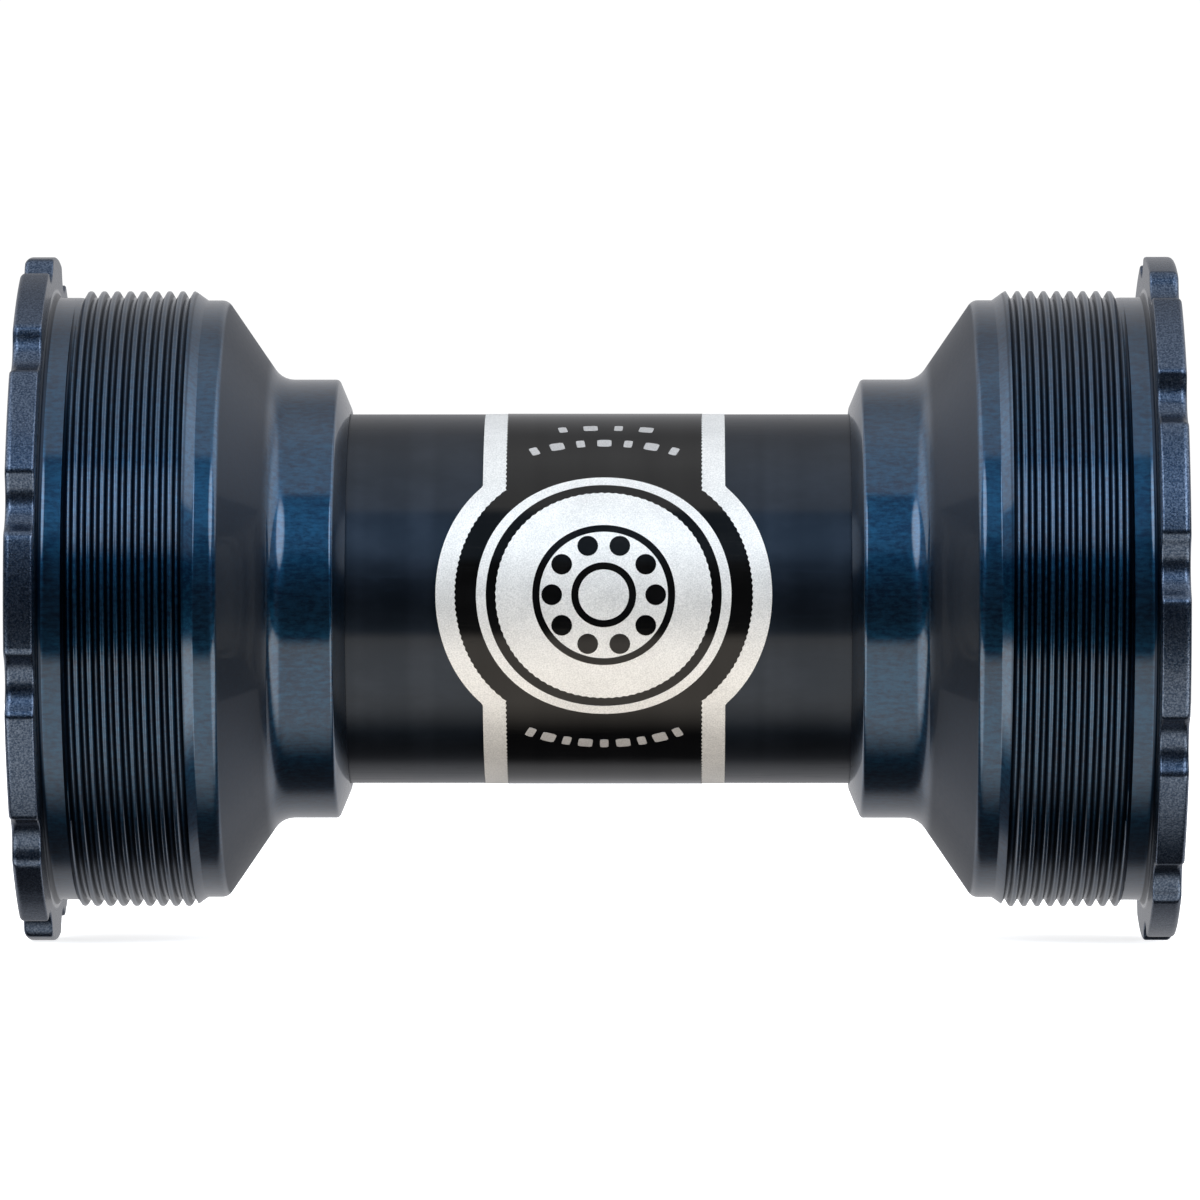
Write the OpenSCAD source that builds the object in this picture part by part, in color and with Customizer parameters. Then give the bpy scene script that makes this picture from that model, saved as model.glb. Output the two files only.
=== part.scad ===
// Threaded external bottom bracket for a 47 mm thread bicycle shell and a 24 mm crank spindle.
// The spindle axis is X, the drive side is +X, and the origin is the middle of the assembly.

/* [Cup flanges] */
// Distance between the outer faces of the two flanges
overall_w = 87.4; // [86.6:0.1:90]
// Outer diameter of the flange
flange_d = 52.2; // [51.6:0.1:54]
// Thickness of the flange
flange_t = 2.2; // [2:0.1:2.6]
// Number of wrench notches round the flange
notch_count = 12; // [8:1:16]
// Radius of the cutter that makes a notch
notch_cutter_r = 2.7; // [2.5:0.1:3]
// How deep a notch goes below the flange's rim
notch_depth = 1.35; // [1:0.05:1.5]
// Turn of the drive side's first notch above the front
drive_notch_turn = 5.1; // [0:0.1:29.9]
// Turn of the non-drive side's first notch above the front
non_drive_notch_turn = 15.8; // [0:0.1:29.9]

/* [Cup bodies] */
// Major diameter of the shell thread
thread_d = 47; // [46.9:0.05:47.1]
// Length of the threaded zone, with its end chamfer
thread_len = 9.1; // [8.5:0.1:10]
// Diameter of the plain relief behind the flange
relief_d = 46; // [45.8:0.1:46.2]
// Length of the plain relief behind the flange
relief_len = 1.8; // [1.4:0.1:2]
// Diameter of the plain neck inboard of the thread
neck_d = 45.6; // [45:0.1:45.8]
// Length of the plain neck, up to the cone's sharp corner
neck_len = 2.2; // [1.6:0.1:2.6]
// Angle of the cone to the spindle axis
cone_angle = 55.6; // [52:0.2:58]
// Diameter of the collar round the sleeve
collar_d = 33.5; // [33.2:0.1:34]
// Distance from the flange's inboard face to the nose's tip
nose_reach = 22.5; // [22:0.1:23.5]

/* [Bearings] */
// Outer diameter of the bearing
bearing_d = 37; // [36.8:0.1:37.2]
// Bore of the bearing
bearing_bore = 25; // [24.9:0.1:25.2]
// Width of the bearing
bearing_w = 7; // [7:0.1:7.2]
// Ball diameter
ball_d = 3.175; // [3:0.025:3.2]
// Balls in each bearing
ball_count = 17; // [12:1:20]
// Bore of the spindle bushing
spindle_bore = 24.05; // [24:0.01:24.1]

/* [Sleeve and label] */
// Outer diameter of the inner sleeve
sleeve_d = 28.2; // [28:0.1:28.3]
// Wall thickness of the inner sleeve
sleeve_wall = 1.2; // [1:0.1:1.4]
// How far the sleeve goes into each cup
sleeve_engagement = 7.4; // [6.5:0.1:7.9]
// Cross-section diameter of the sleeve's O-ring
o_ring_cord = 1.5; // [1.3:0.05:1.6]
// Width of the label band
label_w = 18.2; // [14:0.1:22]
// Diameter of the label's round badge
label_badge_d = 25.2; // [20:0.1:27]
// Thickness of the label
label_t = 0.08; // [0.06:0.01:0.1]
// How far the label sits towards the drive side
label_shift = 0.4; // [-1:0.1:1]
// Turn of the label's badge above the front
label_turn = 1.2; // [-5:0.1:5]

/* [Hidden] */

$fn = 96;
arc_steps = 4;
overshoot = 1;

// Gaps between pieces that turn or slide on each other, measured on the radius
sleeve_gap = 0.05;
o_ring_gap = 0.03;
ball_gap = 0.06;
seal_gap = 0.07;
cage_gap = 0.25;
pocket_gap = 0.05;
cover_gap = 0.4;

// Stations along the spindle axis, counted outward from the middle of the assembly
flange_out_x = overall_w / 2;
flange_in_x = flange_out_x - flange_t;
thread_out_x = flange_in_x - relief_len;
thread_in_x = thread_out_x - thread_len;
neck_in_x = thread_in_x - neck_len;
cone_len = (neck_d - collar_d) / 2 / tan(cone_angle);
collar_out_x = neck_in_x - cone_len;
nose_x = flange_in_x - nose_reach;
sleeve_half = nose_x + sleeve_engagement;

// Cup bores
sleeve_travel_in = 1.2;
sleeve_stop_x = sleeve_half + sleeve_travel_in + 0.05;
sleeve_bore_r = sleeve_d / 2 + sleeve_gap;
passage_r = sleeve_d / 2 - sleeve_wall + 0.15;
passage_len = 0.95;
bell_len = 3;
race_stop_r = bearing_d / 2 - 1.7;
bearing_in_x = flange_in_x - 8.3;
bearing_mid_x = bearing_in_x + bearing_w / 2;
bearing_out_x = bearing_in_x + bearing_w;
cover_seat_r = bearing_d / 2 + 1;
cover_in_x = bearing_out_x + 1;

// O-ring and its groove near the nose's tip
o_ring_x = nose_x + 2.55;
o_ring_in_r = sleeve_d / 2 + o_ring_gap;
o_ring_mid_r = o_ring_in_r + o_ring_cord / 2;
groove_r = o_ring_in_r + o_ring_cord + o_ring_gap;
groove_half = o_ring_cord / 2 + 0.2;

// Bearing insides
pitch_r = (bearing_d + bearing_bore) / 4;
track_r = ball_d / 2 + ball_gap;
inner_land_r = pitch_r - 0.85;
outer_land_r = pitch_r + 0.85;
seal_seat_r = bearing_d / 2 - 1.22;
seal_seat_x = bearing_w / 2 - 1;
seal_t = 0.45;
snap_groove_r = seal_seat_r + 0.42;
snap_ring_t = 0.34;
snap_ring_w = 1.05;
snap_ring_opening = 3.4;
cage_rim_x = -2.3;
cage_open_x = 0.7;

// Bushing and dust cover
bushing_flange_r = pitch_r - 1.3;
bushing_out_x = flange_out_x - 0.3;
cover_out_x = flange_out_x - 0.9;

// Colours
anodised = [0.04, 0.06, 0.10];
race_steel = [0.70, 0.71, 0.73];
ball_steel = [0.85, 0.86, 0.88];
nylon = [0.75, 0.68, 0.50];
seal_rubber = [0.05, 0.05, 0.05];
spring_steel = [0.45, 0.46, 0.48];
black_plastic = [0.08, 0.08, 0.09];
gloss_black = [0.02, 0.02, 0.03];
label_silver = [0.78, 0.78, 0.76];

// Vector of length one along v
function unit(v) = v / norm(v);

// The first two numbers of a corner
function xy(p) = [p[0], p[1]];

// Angle b taken to within half a turn of angle a
function near_angle(a, b) = b - a > 180 ? b - 360 : b - a < -180 ? b + 360 : b;

// Points of the arc that rounds corner p, between corners a and b, at the radius p[2]
function corner_arc(a, p, b) =
    let (
        u = unit(xy(a) - xy(p)),
        v = unit(xy(b) - xy(p)),
        half = acos(u * v) / 2,
        middle = xy(p) + unit(u + v) * p[2] / sin(half),
        first = xy(p) + u * p[2] / tan(half) - middle,
        last = xy(p) + v * p[2] / tan(half) - middle,
        start = atan2(first[1], first[0]),
        end = near_angle(start, atan2(last[1], last[0]))
    )
    [for (i = [0:arc_steps]) let (t = start + (end - start) * i / arc_steps)
        middle + p[2] * [cos(t), sin(t)]];

// Outline through corners [radius from the axis, station, rounding radius]
function rounded(corners) = [
    for (i = [0:len(corners) - 1])
        let (p = corners[i], n = len(corners))
        each p[2] == 0 ? [xy(p)] : corner_arc(corners[(i + n - 1) % n], p, corners[(i + 1) % n])
];

// Solid of revolution about the spindle axis from an outline of [radius, station] points
module lathe(outline) {
    rotate([0, 90, 0]) rotate_extrude() polygon(outline);
}

// Copies round the spindle axis, starting from the given turn
module ring_of(count, turn = 0) {
    for (i = [0:count - 1])
        rotate([-turn - i * 360 / count, 0, 0]) children();
}

// Threaded cup: flange, relief, thread, neck, cone, collar and nose, bored for bearing and sleeve
module cup(notch_turn) {
    flange_r = flange_d / 2;
    collar_r = collar_d / 2;
    outside = [
        [cover_seat_r + 0.3, flange_out_x, 0],
        [flange_r, flange_out_x, 0.45],
        [flange_r, flange_in_x, 0.15],
        [relief_d / 2, flange_in_x, 0.6],
        [relief_d / 2, thread_out_x + 0.3, 0],
        [thread_d / 2, thread_out_x, 0],
        [thread_d / 2, thread_in_x + 0.6, 0],
        [neck_d / 2, thread_in_x, 0],
        [neck_d / 2, neck_in_x, 0.95],
        [collar_r, collar_out_x, 1.8],
        [collar_r, nose_x + 0.9, 0.35],
        [sleeve_bore_r + 0.45, nose_x, 0]
    ];
    inside = [
        [sleeve_bore_r + 0.25, nose_x, 0],
        [sleeve_bore_r, nose_x + 0.25, 0],
        [sleeve_bore_r, o_ring_x - groove_half, 0],
        [groove_r, o_ring_x - groove_half, 0],
        [groove_r, o_ring_x + groove_half, 0],
        [sleeve_bore_r, o_ring_x + groove_half, 0],
        [sleeve_bore_r, sleeve_stop_x, 0],
        [passage_r, sleeve_stop_x, 0],
        [passage_r, sleeve_stop_x + passage_len, 0],
        [race_stop_r, sleeve_stop_x + passage_len + bell_len, 0.6],
        [race_stop_r, bearing_in_x, 0],
        [bearing_d / 2, bearing_in_x, 0],
        [bearing_d / 2, cover_in_x, 0],
        [cover_seat_r, cover_in_x, 0],
        [cover_seat_r, flange_out_x - 0.3, 0]
    ];
    color(anodised)
    difference() {
        lathe(rounded(concat(outside, inside)));
        ring_of(notch_count, notch_turn)
            translate([flange_in_x - overshoot / 2, notch_depth - flange_r - notch_cutter_r, 0])
            rotate([0, 90, 0])
            cylinder(r = notch_cutter_r, h = flange_t + overshoot);
    }
}

// Ball track, as the section of a torus about the spindle axis
module track() {
    translate([pitch_r, 0]) circle(r = track_r);
}

// Outer bearing race with its ball track, seal seats and snap ring groove
module outer_race() {
    r = bearing_d / 2;
    half = bearing_w / 2;
    snap_x = seal_seat_x + seal_t + 0.02;
    section = [
        [outer_land_r, -seal_seat_x],
        [seal_seat_r, -seal_seat_x],
        [seal_seat_r, -half],
        [r - 0.3, -half],
        [r, -half + 0.3],
        [r, half - 0.3],
        [r - 0.3, half],
        [seal_seat_r, half],
        [seal_seat_r, snap_x + snap_ring_t + 0.04],
        [snap_groove_r, snap_x + snap_ring_t + 0.04],
        [snap_groove_r, snap_x],
        [seal_seat_r, snap_x],
        [seal_seat_r, seal_seat_x],
        [outer_land_r, seal_seat_x]
    ];
    color(race_steel)
    translate([bearing_mid_x, 0, 0])
    rotate([0, 90, 0])
    rotate_extrude()
    difference() {
        polygon(section);
        track();
    }
}

// Inner bearing race with its ball track
module inner_race() {
    r = bearing_bore / 2;
    half = bearing_w / 2;
    section = [
        [r + 0.3, -half],
        [inner_land_r, -half],
        [inner_land_r, half],
        [r + 0.3, half],
        [r, half - 0.3],
        [r, -half + 0.3]
    ];
    color(race_steel)
    translate([bearing_mid_x, 0, 0])
    rotate([0, 90, 0])
    rotate_extrude()
    difference() {
        polygon(section);
        track();
    }
}

// Set of bearing balls
module balls() {
    color(ball_steel)
    translate([bearing_mid_x, 0, 0])
    ring_of(ball_count)
        translate([0, -pitch_r, 0]) sphere(r = ball_d / 2, $fn = 48);
}

// Crown cage: a rim with open pockets that snap over the balls
module ball_cage() {
    section = [
        [inner_land_r + cage_gap, cage_rim_x],
        [outer_land_r - cage_gap, cage_rim_x],
        [outer_land_r - cage_gap, cage_open_x],
        [inner_land_r + cage_gap, cage_open_x]
    ];
    color(nylon)
    translate([bearing_mid_x, 0, 0])
    difference() {
        lathe(section);
        ring_of(ball_count)
            translate([0, -inner_land_r, 0])
            rotate([90, 0, 0])
            cylinder(d = ball_d + 2 * pocket_gap, h = outer_land_r - inner_land_r);
    }
}

// Lip seal that closes one side of the bearing; side is 1 outboard and -1 inboard
module bearing_seal(side) {
    lip_r = inner_land_r + seal_gap;
    section = [
        [lip_r, seal_seat_x + 0.1],
        [lip_r + 0.35, seal_seat_x + 0.02],
        [seal_seat_r - 0.02, seal_seat_x + 0.02],
        [seal_seat_r - 0.02, seal_seat_x + seal_t],
        [lip_r + 0.6, seal_seat_x + seal_t],
        [lip_r + 0.25, seal_seat_x + seal_t + 0.25],
        [lip_r, seal_seat_x + seal_t + 0.25]
    ];
    color(seal_rubber)
    translate([bearing_mid_x, 0, 0])
    mirror([side < 0 ? 1 : 0, 0, 0])
        lathe(section);
}

// Split ring that holds the outboard seal in the outer race
module seal_snap_ring() {
    out_r = snap_groove_r - 0.04;
    ring_x = seal_seat_x + seal_t + 0.04;
    section = [
        [out_r - snap_ring_w, ring_x],
        [out_r, ring_x],
        [out_r, ring_x + snap_ring_t],
        [out_r - snap_ring_w, ring_x + snap_ring_t]
    ];
    color(spring_steel)
    translate([bearing_mid_x, 0, 0])
    difference() {
        lathe(section);
        translate([ring_x + snap_ring_t / 2, 0, -out_r])
            cube([overshoot, snap_ring_opening, 4 * snap_ring_w], center = true);
    }
}

// Plastic top-hat bushing that fills the bearing bore down to the spindle
module spindle_bushing() {
    bore_r = spindle_bore / 2;
    outline = [
        [bore_r + 0.2, bearing_in_x, 0],
        [bearing_bore / 2, bearing_in_x, 0],
        [bearing_bore / 2, bearing_out_x, 0],
        [bushing_flange_r, bearing_out_x, 0],
        [bushing_flange_r, bushing_out_x, 0.4],
        [bore_r + 0.45, bushing_out_x, 0],
        [bore_r, bushing_out_x - 0.45, 0],
        [bore_r, bearing_in_x + 0.2, 0]
    ];
    color(black_plastic) lathe(rounded(outline));
}

// Cover that closes the cup's mouth and leaves a narrow gap round the bushing's flange
module dust_cover() {
    hole_r = bushing_flange_r + cover_gap;
    outline = [
        [hole_r, cover_in_x + 0.2, 0],
        [hole_r + 1.2, cover_in_x + 0.2, 0],
        [hole_r + 1.6, cover_in_x, 0],
        [cover_seat_r, cover_in_x, 0],
        [cover_seat_r, cover_out_x, 0.3],
        [cover_seat_r - 1.3, cover_out_x, 0.2],
        [cover_seat_r - 1.7, cover_out_x - 0.4, 0.2],
        [hole_r, cover_out_x - 0.4, 0.25]
    ];
    color(black_plastic) lathe(rounded(outline));
}

// Rubber ring in the nose that seals and centres the sleeve
module o_ring() {
    color(seal_rubber)
    rotate([0, 90, 0])
    rotate_extrude()
    translate([o_ring_mid_r, o_ring_x]) circle(d = o_ring_cord, $fn = 48);
}

// Thin tube that keeps the spindle clean between the cups
module inner_sleeve() {
    out_r = sleeve_d / 2;
    in_r = out_r - sleeve_wall;
    outline = [
        [in_r + 0.2, -sleeve_half],
        [out_r - 0.3, -sleeve_half],
        [out_r, 0.3 - sleeve_half],
        [out_r, sleeve_half - 0.3],
        [out_r - 0.3, sleeve_half],
        [in_r + 0.2, sleeve_half],
        [in_r, sleeve_half - 0.2],
        [in_r, 0.2 - sleeve_half]
    ];
    color(gloss_black) lathe(outline);
}

// Front view of a point of the flat label once it is wrapped round the sleeve
function wrapped(p, r) = [p[0], r * sin(p[1] / r * 180 / PI)];

// Foil label wrapped round the sleeve: a plain band that swells into a round badge at the front
module sleeve_label() {
    in_r = sleeve_d / 2;
    out_r = in_r + label_t;
    badge_r = label_badge_d / 2;
    badge = [for (t = [0:6:354]) wrapped(badge_r * [cos(t), sin(t)], out_r)];
    color(label_silver)
    intersection() {
        rotate([0, 90, 0])
        rotate_extrude()
        translate([in_r, -label_badge_d]) square([label_t, 2 * label_badge_d]);
        union() {
            translate([label_shift, 0, 0]) cube([label_w, 3 * out_r, 3 * out_r], center = true);
            translate([label_shift, 0, 0])
            rotate([90 - label_turn, 0, 0])
            linear_extrude(2 * out_r) polygon(badge);
        }
    }
}

// The non-drive side is the drive side's mirror image
module non_drive() {
    mirror([1, 0, 0]) children();
}

cup(drive_notch_turn);  // drive_cup
outer_race();  // drive_outer_race
inner_race();  // drive_inner_race
balls();  // drive_balls
ball_cage();  // drive_ball_cage
bearing_seal(1);  // drive_outboard_seal
bearing_seal(-1);  // drive_inboard_seal
seal_snap_ring();  // drive_seal_snap_ring
spindle_bushing();  // drive_spindle_bushing
dust_cover();  // drive_dust_cover
o_ring();  // drive_o_ring
inner_sleeve();
sleeve_label();
non_drive() cup(non_drive_notch_turn);  // non_drive_cup
non_drive() outer_race();  // non_drive_outer_race
non_drive() inner_race();  // non_drive_inner_race
non_drive() balls();  // non_drive_balls
non_drive() ball_cage();  // non_drive_ball_cage
non_drive() bearing_seal(1);  // non_drive_outboard_seal
non_drive() bearing_seal(-1);  // non_drive_inboard_seal
non_drive() seal_snap_ring();  // non_drive_seal_snap_ring
non_drive() spindle_bushing();  // non_drive_spindle_bushing
non_drive() dust_cover();  // non_drive_dust_cover
non_drive() o_ring();  // non_drive_o_ring
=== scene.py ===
"""Threaded bottom bracket: two notched cups with bearings, joined by a thin inner sleeve and its label.

The spindle axis is X, the drive side is +X, the front is -Y and up is +Z. Every length is in metres.
An angle named a turn is counted about the spindle axis from the front, upwards.
"""
import logging
import math
from collections.abc import Callable, Sequence
from dataclasses import dataclass
from enum import Enum

import bpy
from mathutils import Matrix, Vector


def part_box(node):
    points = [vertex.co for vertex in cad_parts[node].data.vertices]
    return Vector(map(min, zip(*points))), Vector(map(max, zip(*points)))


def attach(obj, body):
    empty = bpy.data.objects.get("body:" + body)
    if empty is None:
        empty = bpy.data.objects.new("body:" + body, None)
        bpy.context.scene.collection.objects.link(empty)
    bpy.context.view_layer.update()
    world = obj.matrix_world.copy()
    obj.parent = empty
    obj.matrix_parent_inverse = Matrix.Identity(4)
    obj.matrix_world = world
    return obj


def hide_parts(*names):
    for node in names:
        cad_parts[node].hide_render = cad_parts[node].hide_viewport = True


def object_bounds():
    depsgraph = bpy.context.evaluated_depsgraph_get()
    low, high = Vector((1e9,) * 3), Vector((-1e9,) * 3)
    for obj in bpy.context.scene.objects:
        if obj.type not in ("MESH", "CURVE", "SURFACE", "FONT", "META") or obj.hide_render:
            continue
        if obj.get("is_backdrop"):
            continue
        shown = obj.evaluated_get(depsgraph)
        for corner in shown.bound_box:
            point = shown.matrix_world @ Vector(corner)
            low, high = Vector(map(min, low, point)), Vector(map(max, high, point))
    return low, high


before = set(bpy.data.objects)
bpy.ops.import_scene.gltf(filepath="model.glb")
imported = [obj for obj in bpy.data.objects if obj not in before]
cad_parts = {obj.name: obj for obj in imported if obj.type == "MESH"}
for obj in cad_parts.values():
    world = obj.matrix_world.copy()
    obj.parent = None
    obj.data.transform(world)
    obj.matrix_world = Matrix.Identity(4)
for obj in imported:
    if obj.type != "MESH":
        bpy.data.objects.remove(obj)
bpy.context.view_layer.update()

MM = 0.001
FULL_TURN = 2 * math.pi
log = logging.getLogger("bottom_bracket")

Colour = tuple[float, float, float]
Grains = float | tuple[float, float, float]
Limits = tuple[float, float]


class Side(Enum):
    """One end of the bottom bracket, as its direction along the spindle axis."""

    DRIVE = 1
    NON_DRIVE = -1

    def named(self, part: str) -> str:
        """Full name of a part or body on this side."""
        return f"{self.name.lower()}_{part}"

    def extent(self, node: str) -> tuple[float, float]:
        """Stations where a node of this side starts and ends, counted outward from the middle.

        Args:
            node: The node's name without the side.

        Returns:
            The inboard and the outboard station.
        """
        low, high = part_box(self.named(node))
        ends = sorted((self.value * low[0], self.value * high[0]))
        return ends[0], ends[1]

    def reach(self, node: str) -> float:
        """Outer radius of a round node of this side."""
        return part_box(self.named(node))[1][2]


def new_object(name: str, data: bpy.types.ID) -> bpy.types.Object:
    """Object in the scene that shows the given data."""
    made = bpy.data.objects.new(name, data)
    bpy.context.scene.collection.objects.link(made)
    return made


# ---------------------------------------------------------------- node graphs


def operator(operation: str, flipped: bool = False) -> Callable[["Term", "Term | float"], "Term"]:
    """Operator of a term that adds one Math node.

    Args:
        operation: The node's operation.
        flipped: Whether the number stands before the term.

    Returns:
        The operator as a method.
    """
    def method(term: "Term", other: "Term | float") -> "Term":
        """Add the node on both sides in their order."""
        return term.graph.math(operation, *((other, term) if flipped else (term, other)))

    return method


class Term:
    """The value of one socket, which can stand in a sum."""

    __add__ = operator("ADD")
    __radd__ = operator("ADD", flipped=True)
    __sub__ = operator("SUBTRACT")
    __rsub__ = operator("SUBTRACT", flipped=True)
    __mul__ = operator("MULTIPLY")
    __rmul__ = operator("MULTIPLY", flipped=True)
    __truediv__ = operator("DIVIDE")
    __rtruediv__ = operator("DIVIDE", flipped=True)
    __gt__ = operator("GREATER_THAN")
    __lt__ = operator("LESS_THAN")

    def __init__(self, graph: "Graph", socket: bpy.types.NodeSocket) -> None:
        """Keep the socket and the graph that it belongs to."""
        self.graph = graph
        self.socket = socket

    def __neg__(self) -> "Term":
        """Opposite."""
        return self * -1.0

    def __abs__(self) -> "Term":
        """Size without the sign."""
        return self.graph.math("ABSOLUTE", self)


class Graph:
    """A node tree under construction."""

    def __init__(self, tree: bpy.types.NodeTree) -> None:
        """Keep the tree."""
        self.tree = tree

    def node(self, kind: str, settings: dict | None = None, values: dict | None = None) -> bpy.types.Node:
        """Add a node.

        Args:
            kind: The node's type.
            settings: The node's own properties, which are set first.
            values: Numbers, colours or terms for its sockets, by name or by number.

        Returns:
            The new node.
        """
        node = self.tree.nodes.new(kind)
        for name, setting in (settings or {}).items():
            setattr(node, name, setting)
        for key, value in (values or {}).items():
            socket = self._find(node.inputs, key)
            if isinstance(value, Term):
                self.tree.links.new(value.socket, socket)
            else:
                socket.default_value = value
        return node

    def add(self, kind: str, settings: dict | None = None, values: dict | None = None,
            out: str | int = 0) -> Term:
        """Add a node and take one of its outputs.

        Args:
            kind: The node's type.
            settings: The node's own properties.
            values: Numbers, colours or terms for its sockets.
            out: The output's name or number.

        Returns:
            The output as a term.
        """
        return Term(self, self._find(self.node(kind, settings, values).outputs, out))

    def math(self, operation: str, *parts: "Term | float") -> Term:
        """Add a Math node on values or terms."""
        return self.add("ShaderNodeMath", {"operation": operation}, dict(enumerate(parts)))

    def vector(self, x: "Term | float", y: "Term | float", z: "Term | float") -> Term:
        """Vector of three values."""
        return self.add("ShaderNodeCombineXYZ", {}, {"X": x, "Y": y, "Z": z})

    def split(self, vector: Term) -> tuple[Term, Term, Term]:
        """The three values of a vector."""
        node = self.node("ShaderNodeSeparateXYZ", {}, {"Vector": vector})
        return Term(self, node.outputs[0]), Term(self, node.outputs[1]), Term(self, node.outputs[2])

    def fade(self, value: Term, start: float, end: float) -> Term:
        """Smooth step from 0 at start to 1 at end.

        Args:
            value: What is tested.
            start: Where the result is 0.
            end: Where the result is 1, which may be below start.

        Returns:
            The step's value.
        """
        if end < start:
            return 1.0 - self.fade(value, end, start)
        limits = {"Value": value, "From Min": start, "From Max": end}
        return self.add("ShaderNodeMapRange", {"interpolation_type": "SMOOTHSTEP"}, limits)

    def hold(self, value: Term, low: Term | float, high: Term | float) -> Term:
        """Value kept between two limits."""
        return self.math("MINIMUM", self.math("MAXIMUM", value, low), high)

    def around(self, station: Term, radius: Term, turn: Term) -> Term:
        """Place at a station, a radius and a turn about the spindle axis."""
        return self.vector(station, -(radius * self.math("COSINE", turn)), radius * self.math("SINE", turn))

    def colour_mix(self, factor: Term, first: Term | Colour, second: Term | Colour) -> Term:
        """Colour between two colours."""
        ends = [end if isinstance(end, Term) else (*end, 1.0) for end in (first, second)]
        values = {"Factor": factor, "A": ends[0], "B": ends[1]}
        return self.add("ShaderNodeMix", {"data_type": "RGBA"}, values, "Result")

    @staticmethod
    def _find(sockets: bpy.types.bpy_prop_collection, key: str | int) -> bpy.types.NodeSocket:
        """Socket in use with the given name or number."""
        if isinstance(key, int):
            return sockets[key]
        return next(socket for socket in sockets if socket.enabled and socket.name == key)


class SurfaceGraph(Graph):
    """A material's node tree, with the patterns that finishes share."""

    def __init__(self, material: bpy.types.Material) -> None:
        """Empty the material's tree and find a point's place on the object.

        Args:
            material: The material.
        """
        material.use_nodes = True
        material.node_tree.nodes.clear()
        super().__init__(material.node_tree)
        self.place = self.add("ShaderNodeTexCoord", {}, {}, "Object")
        self.x, self.y, self.z = self.split(self.place)
        self.radius = self.math("SQRT", self.y * self.y + self.z * self.z)

    def noise(self, grains: Grains, detail: float = 2.0, roughness: float = 0.5) -> Term:
        """Noise from 0 to 1 whose grain may be longer one way than another.

        Args:
            grains: Grains in a metre, every way or along X, Y and Z.
            detail: Octaves of finer noise.
            roughness: Strength of the finer noise.

        Returns:
            The noise.
        """
        scale = grains if isinstance(grains, tuple) else (grains, grains, grains)
        stretched = self.add("ShaderNodeMapping", {}, {"Vector": self.place, "Scale": scale})
        values = {"Vector": stretched, "Scale": 1.0, "Detail": detail, "Roughness": roughness}
        return self.add("ShaderNodeTexNoise", {}, values)

    def rings(self, per_metre: float, detail: float = 3.0) -> Term:
        """Noise that is the same all the way round the spindle axis, as a lathe tool leaves it."""
        marks = self.vector(self.x * per_metre, self.radius * per_metre, 0.0)
        return self.add("ShaderNodeTexNoise", {}, {"Vector": marks, "Scale": 1.0, "Detail": detail})

    def scratches(self, grains: Grains, share: float) -> Term:
        """Thin lines along the grain of a noise, 1 on a line and 0 where it is share away from 0.5."""
        return self.fade(abs(self.noise(grains, 1.0) - 0.5), share, 0.0)

    def bump(self, height: Term, depth: float, strength: float = 1.0) -> Term:
        """Normal of a surface with a small relief.

        Args:
            height: The relief, about 0 to 1.
            depth: Height in metres that 1 stands for.
            strength: Strength of the relief.

        Returns:
            The normal.
        """
        return self.add("ShaderNodeBump", {}, {"Height": height, "Distance": depth, "Strength": strength})

    def close(self, sockets: dict) -> None:
        """Feed the principled shader with its sockets and end the tree."""
        shader = self.add("ShaderNodeBsdfPrincipled", {}, sockets)
        self.node("ShaderNodeOutputMaterial", {}, {"Surface": shader})


# ------------------------------------------------------------------- finishes


@dataclass(frozen=True)
class Finish:
    """A surface finish, with the name of one of the record's material slots."""

    name: str
    slot: str

    def material(self) -> bpy.types.Material:
        """The finish's material, made at its first use."""
        ready = bpy.data.materials.get(self.name)
        if ready is not None:
            return ready
        material = bpy.data.materials.new(self.name)
        graph = SurfaceGraph(material)
        graph.close(self.sockets(graph))
        return material

    def sockets(self, graph: SurfaceGraph) -> dict:
        """Values and terms for the principled shader.

        Args:
            graph: The material's node graph.

        Returns:
            The shader's sockets by name.
        """
        raise NotImplementedError


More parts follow.
